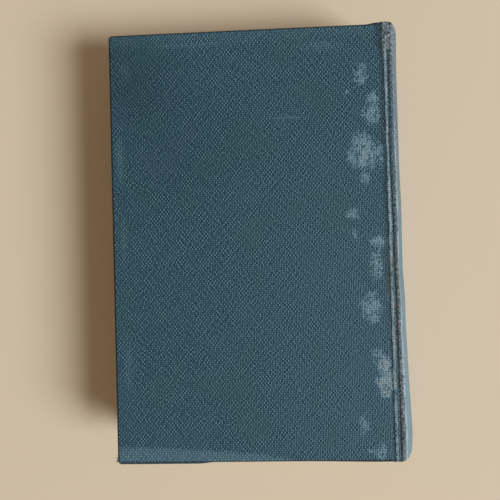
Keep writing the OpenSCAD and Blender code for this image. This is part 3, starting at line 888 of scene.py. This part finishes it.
def makeBreakGroup():   # breaks a soft mask up into irregular streaks that catch the high threads
    tree, given, give = startGroup("brokenMask", {
        "Mask": 0, "Height": 0.5, "Size": 0.5, "Raggedness": 0.6, "Low": 0.15, "High": 1.1}, ("Mask",))
    turned = addNode(tree, "ShaderNodeMapping", {
        "Vector": given["Lay"], "Rotation": (0, 0, 0.6), "Scale": (1.35, 0.8, 1)}).outputs[0]
    coarse = noiseOf(tree, turned, given["Size"], 5.0, 0.7)
    fine = noiseOf(tree, given["Lay"], times(tree, given["Size"], 3.5), 2.0, 0.6)
    spread = sway(tree, calc(tree, "SUBTRACT", coarse, 0.5), fine, 0.9)
    ragged = times(tree, given["Mask"], scaled(tree, times(tree, spread, given["Raggedness"]), 5.0, 1.0))
    shown = ramp(tree, ragged, given["Low"], given["High"])
    feed(tree, give, {"Mask": times(tree, shown, scaled(tree, given["Height"], 0.6, 0.5), clamp=True)})
    return tree


def makeSpeckGroup():   # small scattered spots, such as dust, fibres' ends and foxing
    tree, given, give = startGroup("specks", {"Size": 1.0, "Share": 0.5}, ("Mask",))
    cells = addNode(tree, "ShaderNodeTexVoronoi", {
        "Vector": given["Lay"], "Scale": calc(tree, "DIVIDE", 1.0, given["Size"])}).outputs
    chance = addNode(tree, "ShaderNodeSeparateColor", {0: cells["Color"]}).outputs
    rough = noiseOf(tree, given["Lay"], calc(tree, "DIVIDE", 3.0, given["Size"]))
    reach = calc(tree, "DIVIDE", cells["Distance"], scaled(tree, chance[1], 0.8, 0.15))
    dot = ramp(tree, sway(tree, reach, rough, 0.6), 0.5, 0.05)
    feed(tree, give, {"Mask": times(tree, calc(tree, "LESS_THAN", chance[0], given["Share"]), dot)})
    return tree


# Book cloth
clothLook = {
    # the darkest and palest weave colours are painted shade between the threads and painted light on their
    # crowns
    "shadedGap": srgb(12, 33, 46), "mid": srgb(41, 73, 88), "litCrown": srgb(92, 127, 143),
    # the last is the pale of threads rubbed bare, also used for painted highlights
    "green": srgb(50, 84, 86), "blue": srgb(62, 86, 108), "edge": srgb(166, 184, 192),
    "rubbed": srgb(130, 162, 178), "rubbedPale": srgb(146, 166, 172),
    # the spine's sun-faded cloth and its darker gaps, also painted lighter as if lit
    "fadedAndLit": srgb(138, 159, 168), "fadedShadedGap": srgb(72, 97, 108),
    # the dark of grime and of painted shade in the joint and along the edges
    "soiledAndShaded": srgb(30, 42, 44), "brown": srgb(104, 84, 64),
    "worn": srgb(88, 97, 104), "wornPale": srgb(154, 165, 171), "wornDark": srgb(31, 35, 38),
    "weave": {"PitchX": 0.735, "PitchY": 0.94, "Wander": 0.25},   # spacing of the threads in mm
    "threads": (("Over", 0.5, 0.44), ("Tone", 0.5, 0.12), ("Height", 0.62, 0.5), ("Cell", 0.5, 0.62)),
}


def threadToneAndShading(tree, lay, weave):   # how light the cloth is: the threads' dyed tone with painted light on their crowns and painted shade in their gaps, and by the part of the cover
    light = 0.0
    for name, middle, amount in clothLook["threads"]:
        light = sway(tree, light, weave[name], amount, middle)
    across, upward = split(tree, lay)[:2]
    right = times(tree, ramp(tree, across, -90.0, -8.0), ramp(tree, upward, 75.0, -20.0, 0.25, 1.0))
    light = calc(tree, "ADD", light, times(tree, weave["Rib"], scaled(tree, right, -0.3, -0.15)))
    light = sway(tree, light, noiseOf(tree, lay, 2.4, 1.0), 0.35)
    patchy = noiseOf(tree, lay, 0.16, 3.0, 0.6)
    strength = scaled(tree, right, 0.2, ramp(tree, patchy, 0.3, 0.7, 0.9, 1.1))
    strength = times(tree, strength, ramp(tree, across, -115.0, -70.0, 0.84, 1.0),
                     ramp(tree, across, -35.0, -12.0, 1.0, 1.18))
    return scaled(tree, light, strength, 0.48)


def makeBookCloth():
    material, tree = startMaterial("bookCloth")
    look = clothLook
    lay = readLayer(tree, "clothLay", "Vector")
    weave = useGroup(tree, plainWeave, Lay=lay, **look["weave"])
    height = weave["Height"]

    def masked(layer, size, ragged, low=0.15, high=1.1):
        return useGroup(tree, brokenMask, Mask=readLayer(tree, layer), Lay=lay, Height=height, Size=size,
                        Raggedness=ragged, Low=low, High=high)["Mask"]

    def over(factor, colour, top, amount=1.0):   # lays a colour over another where factor is high
        return mixColour(tree, times(tree, factor, amount), colour, top)

    # the threads: dyed tone, with painted light on the crowns and painted shade in the gaps
    rub, band = masked("rub", 0.3, 1.4, 0.58, 0.72), masked("band", 0.3, 0.35)
    light = threadToneAndShading(tree, lay, weave)
    light = scaled(tree, rub, scaled(tree, light, -0.25, 0.32), light)
    light = scaled(tree, band, 0.16, light, clamp=True)
    colours = addNode(tree, "ShaderNodeValToRGB", {"Fac": light})
    ends = colours.color_ramp.elements
    ends[0].color, ends[1].color = look["shadedGap"], look["litCrown"]
    ends.new(0.5).color = look["mid"]
    region = noiseOf(tree, lay, 0.04, 1.0)
    colour = colours.outputs["Color"]
    colour = mixColour(tree, ramp(tree, region, 0.5, 0.75, 0.0, 0.28), colour, look["green"])
    colour = mixColour(tree, ramp(tree, region, 0.5, 0.25, 0.0, 0.24), colour, look["blue"])

    # a chalky film on the rubbed places, thin in the band
    flecks = noiseOf(tree, lay, 2.0, 2.0, 0.6)
    chalk = noiseOf(tree, lay, 0.7, 4.0, 0.65)
    chalky = sway(tree, readLayer(tree, "rub"), chalk, 2.2)
    film = ramp(tree, scaled(tree, light, 0.12, flecks), 0.5, 0.58, 0.22, 1.0)
    film = times(tree, ramp(tree, chalky, 0.7, 1.4, 0.6, 1.0), film)
    rubbed = mixColour(tree, ramp(tree, chalky, 1.15, 1.4), look["rubbed"], look["rubbedPale"])
    colour = over(rub, colour, rubbed, film)
    colour = over(band, colour, look["rubbed"], 0.14)

    # the faded spine, partly painted light, broad darker places, the joint's grime with painted shade, and
    # its brown ground
    # the faded spine: sun-fading, with painted light on its side
    mottle = noiseOf(tree, lay, 1.3, 3.0, 0.65, stretch=(0.25, 1.0, 1.0))
    crisp = sway(tree, scaled(tree, light, 1.7, -0.38), mottle, 2.6, clamp=True)
    fadedAndLit = mixColour(tree, crisp, look["fadedShadedGap"], look["fadedAndLit"])
    colour = over(readLayer(tree, "fade"), colour, fadedAndLit, 0.92)
    colour = over(readLayer(tree, "shade"), colour, look["shadedGap"], 0.3)
    streaks = noiseOf(tree, lay, 1.0, 3.0, 0.6, stretch=(1.6, 0.3, 1.0))
    brown = times(tree, readLayer(tree, "brown"), ramp(tree, streaks, 0.4, 0.62))
    # grime and painted shade in the joint and along the edges
    colour = mixColour(tree, masked("soil", 0.8, 0.85, 0.2, 1.15), colour, look["soiledAndShaded"])
    colour = over(brown, colour, look["brown"], 0.85)

    # worn cloth on the ridge, and the pale edge marks: threads rubbed bare along the edges, with painted
    # highlights on the joint's crest and the spine's shoulder
    grit = noiseOf(tree, lay, 0.95, 3.0, 0.65, stretch=(1.2, 0.8, 1.0))
    wornCloth = mixColour(tree, ramp(tree, grit, 0.5, 0.6), look["worn"], look["wornPale"])
    wornCloth = mixColour(tree, ramp(tree, grit, 0.47, 0.38), wornCloth, look["wornDark"])
    colour = over(readLayer(tree, "worn"), colour, wornCloth, 0.78)
    stitch = times(tree, scaled(tree, weave["Weft"], -0.12, 0.7), scaled(tree, chalk, 2.4, -0.3))
    stitch = times(tree, masked("edgeRub", 0.7, 0.85, 0.25, 0.9), stitch, clamp=True)
    colour = mixColour(tree, stitch, colour, look["edge"])
    coat(tree, colour, scaled(tree, height, -0.12, 0.86), 0.15, (height, 0.16, 0.7))
    feed(tree, tree.nodes["Principled BSDF"].inputs, {"Sheen Weight": 0.03, "Sheen Roughness": 0.5})
    return material


# Paper, board, gauze and thread
stock = {
    "page": srgb(219, 204, 172), "pageShade": srgb(176, 153, 114), "pageLine": srgb(140, 116, 82),
    "pageLines": ((9.0, 0.0, 0.45), (3.1, 17.0, 0.35), (0.9, 41.0, 0.2)),   # fineness, seed, share
    "dust": srgb(112, 98, 80), "fox": srgb(150, 108, 62),
    "endpaper": srgb(222, 209, 180), "endShade": srgb(196, 176, 138),
    "board": srgb(148, 131, 104), "boardSpeck": srgb(104, 88, 66), "boardPale": srgb(176, 162, 136),
    "kraft": srgb(164, 128, 88), "kraftFibre": srgb(128, 95, 62),
    "gauze": srgb(202, 194, 170), "gauzeGap": srgb(120, 108, 84),
    "gauzeWeave": {"PitchX": 1.1, "PitchY": 1.1, "Wander": 0.2},
    "thread": srgb(214, 204, 180), "threadShade": srgb(160, 146, 116),
    "band": srgb(126, 44, 40), "bandPale": srgb(206, 190, 156),
    "bandWeave": {"PitchX": 0.35, "PitchY": 0.35, "Wander": 0.1},
}


def makePageEdges():
    material, tree = startMaterial("pageEdges")
    lay = readLayer(tree, "lay", "Vector")
    parts = split(tree, lay)
    slow = noiseOf(tree, lay, 0.05)
    leaf = scaled(tree, slow, 0.35, parts["Z"])   # the height in the block, with a slow wander
    along = times(tree, calc(tree, "ADD", parts["X"], parts["Y"]), 0.012)
    lines, fine = [], 0.0
    for scale, seed, share in stock["pageLines"]:
        lines.append(noiseOf(tree, join(tree, times(tree, leaf, scale), seed, along), 1.0, 1.0))
        fine = scaled(tree, lines[-1], share, fine)
    colour = mixColour(tree, ramp(tree, fine, 0.36, 0.62), stock["pageShade"], stock["page"])
    colour = mixColour(tree, ramp(tree, lines[0], 0.42, 0.3, 0.0, 0.7), colour, stock["pageLine"])
    head = ramp(tree, parts["Y"], 90.0, 91.9, 0.0, 0.55)
    colour = mixColour(tree, times(tree, head, ramp(tree, slow, 0.3, 0.6, 0.6, 1.0)), colour, stock["dust"])
    colour = speckled(tree, colour, lay, 3.2, 0.05, 0.5, stock["fox"])
    coat(tree, colour, 0.88, 0.2, (fine, 0.12, 0.8))
    return material


def makeEndPaper():
    material, tree = startMaterial("endPaper")
    lay = readLayer(tree, "lay", "Vector")
    clouds = noiseOf(tree, lay, 0.03, 3.0, 0.55)
    fibres = noiseOf(tree, lay, 1.4, 4.0, 0.6, stretch=(1.0, 0.35, 1.0))
    rim = ramp(tree, calc(tree, "ABSOLUTE", split(tree, lay)["Y"]), 76.0, 92.0, 0.0, 0.45)
    colour = stock["endpaper"]
    for shade in (ramp(tree, clouds, 0.35, 0.7, 0.0, 0.35), ramp(tree, fibres, 0.5, 0.72, 0.0, 0.22), rim):
        colour = mixColour(tree, shade, colour, stock["endShade"])
    colour = speckled(tree, colour, lay, 5.5, 0.05, 0.35, stock["fox"])
    coat(tree, colour, 0.85, 0.2, (fibres, 0.03, 0.6))
    return material


def makeBoardStock():
    material, tree = startMaterial("boardStock")
    place = objectPlace(tree)
    pulp = noiseOf(tree, place, 0.9, 5.0, 0.65)
    colour = mixColour(tree, ramp(tree, pulp, 0.4, 0.62), stock["board"], stock["boardPale"])
    colour = speckled(tree, colour, place, 0.9, 0.3, 0.6, stock["boardSpeck"])
    coat(tree, colour, 0.92, bump=(pulp, 0.15, 0.7))
    return material


def makeGauze():
    material, tree = startMaterial("gauze")
    height = useGroup(tree, plainWeave, Lay=objectPlace(tree), **stock["gauzeWeave"])["Height"]
    colour = mixColour(tree, ramp(tree, height, 0.3, 0.65), stock["gauzeGap"], stock["gauze"])
    coat(tree, colour, 0.9, bump=(height, 0.12, 0.8))
    return material


def makeKraft():
    material, tree = startMaterial("kraftPaper")
    fibres = noiseOf(tree, objectPlace(tree), 1.1, 4.0, 0.6, stretch=(1.0, 0.25, 1.0))
    colour = mixColour(tree, ramp(tree, fibres, 0.38, 0.66), stock["kraftFibre"], stock["kraft"])
    coat(tree, colour, 0.8, bump=(fibres, 0.04, 0.6))
    return material


def makeThread():
    material, tree = startMaterial("linenThread")
    place = addNode(tree, "ShaderNodeTexCoord").outputs["Object"]
    twist = addNode(tree, "ShaderNodeTexWave", {"Vector": place, "Scale": 700.0, "Distortion": 0.6},
                    bands_direction="DIAGONAL").outputs["Fac"]
    coat(tree, mixColour(tree, twist, stock["threadShade"], stock["thread"]), 0.75, bump=(twist, 0.06, 0.7))
    return material


def makeBandSilk():
    material, tree = startMaterial("bandSilk")
    stitch = readLayer(tree, "stitch")
    lay = readLayer(tree, "lay", "Vector")
    turn = calc(tree, "FRACT", times(tree, stitch, 0.25))   # two red stitches, then two pale ones
    colour = mixColour(tree, calc(tree, "GREATER_THAN", turn, 0.5), stock["band"], stock["bandPale"])
    colour = mixColour(tree, calc(tree, "LESS_THAN", stitch, -0.5), colour, stock["bandPale"])
    worn = noiseOf(tree, lay, 0.8, 3.0)
    colour = mixColour(tree, ramp(tree, worn, 0.4, 0.7, 0.0, 0.3), colour, stock["dust"])
    weave = useGroup(tree, plainWeave, Lay=lay, **stock["bandWeave"])
    coat(tree, colour, 0.6, bump=(weave["Height"], 0.05, 0.6))
    return material


def makeFrayedThread():
    material, tree = startMaterial("frayedThread")
    twist = noiseOf(tree, readLayer(tree, "lay", "Vector"), 2.2, 3.0, 0.6)
    colour = mixColour(tree, ramp(tree, twist, 0.45, 0.7), clothLook["wornDark"], clothLook["mid"])
    coat(tree, colour, 0.9, bump=(twist, 0.05, 0.6))
    return material


plainWeave, brokenMask, specks = makeWeaveGroup(), makeBreakGroup(), makeSpeckGroup()
bookCloth, frayedThread = makeBookCloth(), makeFrayedThread()
pageEdges, endPaper, boardStock = makePageEdges(), makeEndPaper(), makeBoardStock()
gauze, kraftPaper, linenThread, bandSilk = makeGauze(), makeKraft(), makeThread(), makeBandSilk()
print("materials made")

sides = (("back", 1), ("front", -1))
for where, side in sides:
    buildCoverCloth(where + "Cloth", side, where + "_cover")
buildSpineCloth()
print("case cloth made")

buildInlay()
for where, side in sides:
    buildPastedown(where + "Pastedown", side, where + "_cover")
    buildFlyleaf(where + "Flyleaf", side, where + "_flyleaf")
    buildMullWing(where + "MullWing", side, where + "_cover")
    buildFrays(where + "Frays", side, where + "_cover")
buildLeaves()
buildBand("headBand", 1, "head_band")
buildBand("tailBand", -1, "tail_band")
print("inner pieces made")

for node, material in (("back_board", boardStock), ("front_board", boardStock), ("spine_mull", gauze),
                       ("spine_lining", kraftPaper), ("sewing_threads", linenThread)):
    piece = frame["nodes"][node]
    piece.data.materials.clear()
    piece.data.materials.append(material)
print("frame's own pieces finished")

# Stage, light and camera
studio = {
    "floor": srgb(208, 194, 173), "floorHalf": 1.5,
    "key": 320, "keySize": 2.5, "keyFar": 5.0, "keyUp": 36, "keyTurn": -26, "keyColour": (0.96, 1.0, 1.03),
    "sky": srgb(255, 226, 194), "skyLevel": 0.30,
    "lens": 36, "sensor": 36, "near": 0.01,
    "cameraAt": (0.005266, -0.005616, 0.246771), "cameraTurn": (0.013476, 0.0437426, -0.0270151),
}


def buildFloor():
    half = studio["floorHalf"]
    corners = [(half * x, half * y, 0) for x, y in ((-1, -1), (1, -1), (1, 1), (-1, 1))]
    mesh = bpy.data.meshes.new("floor")
    mesh.from_pydata(corners, [], [(0, 1, 2, 3)])
    material, tree = startMaterial("floorPaint")
    coat(tree, studio["floor"], 0.9, 0.1)
    mesh.materials.append(material)
    addObject("floor", mesh)


def buildLight():
    lamp = bpy.data.lights.new("key", "AREA")
    lamp.shape, lamp.size = "DISK", studio["keySize"]
    lamp.energy, lamp.color = studio["key"], studio["keyColour"]
    key = addObject("key", lamp)
    up, turn = math.radians(studio["keyUp"]), math.radians(studio["keyTurn"])
    way = math.cos(up) * math.cos(turn), math.cos(up) * math.sin(turn), math.sin(up)
    key.location = [studio["keyFar"] * c for c in way]
    key.rotation_euler = (0, math.pi / 2 - up, turn)
    world = bpy.data.worlds.new("studio")
    world.use_nodes = True
    sky = {"Color": studio["sky"], "Strength": studio["skyLevel"]}
    feed(world.node_tree, world.node_tree.nodes["Background"].inputs, sky)
    bpy.context.scene.world = world


def buildCamera():
    lens = bpy.data.cameras.new("camera")
    lens.sensor_width, lens.lens, lens.clip_start = studio["sensor"], studio["lens"], studio["near"]
    camera = addObject("camera", lens)
    camera.location, camera.rotation_euler = studio["cameraAt"], studio["cameraTurn"]
    bpy.context.scene.camera = camera
    bpy.context.scene.view_settings.view_transform = "Standard"


buildFloor()
buildLight()
buildCamera()
print("studio made")
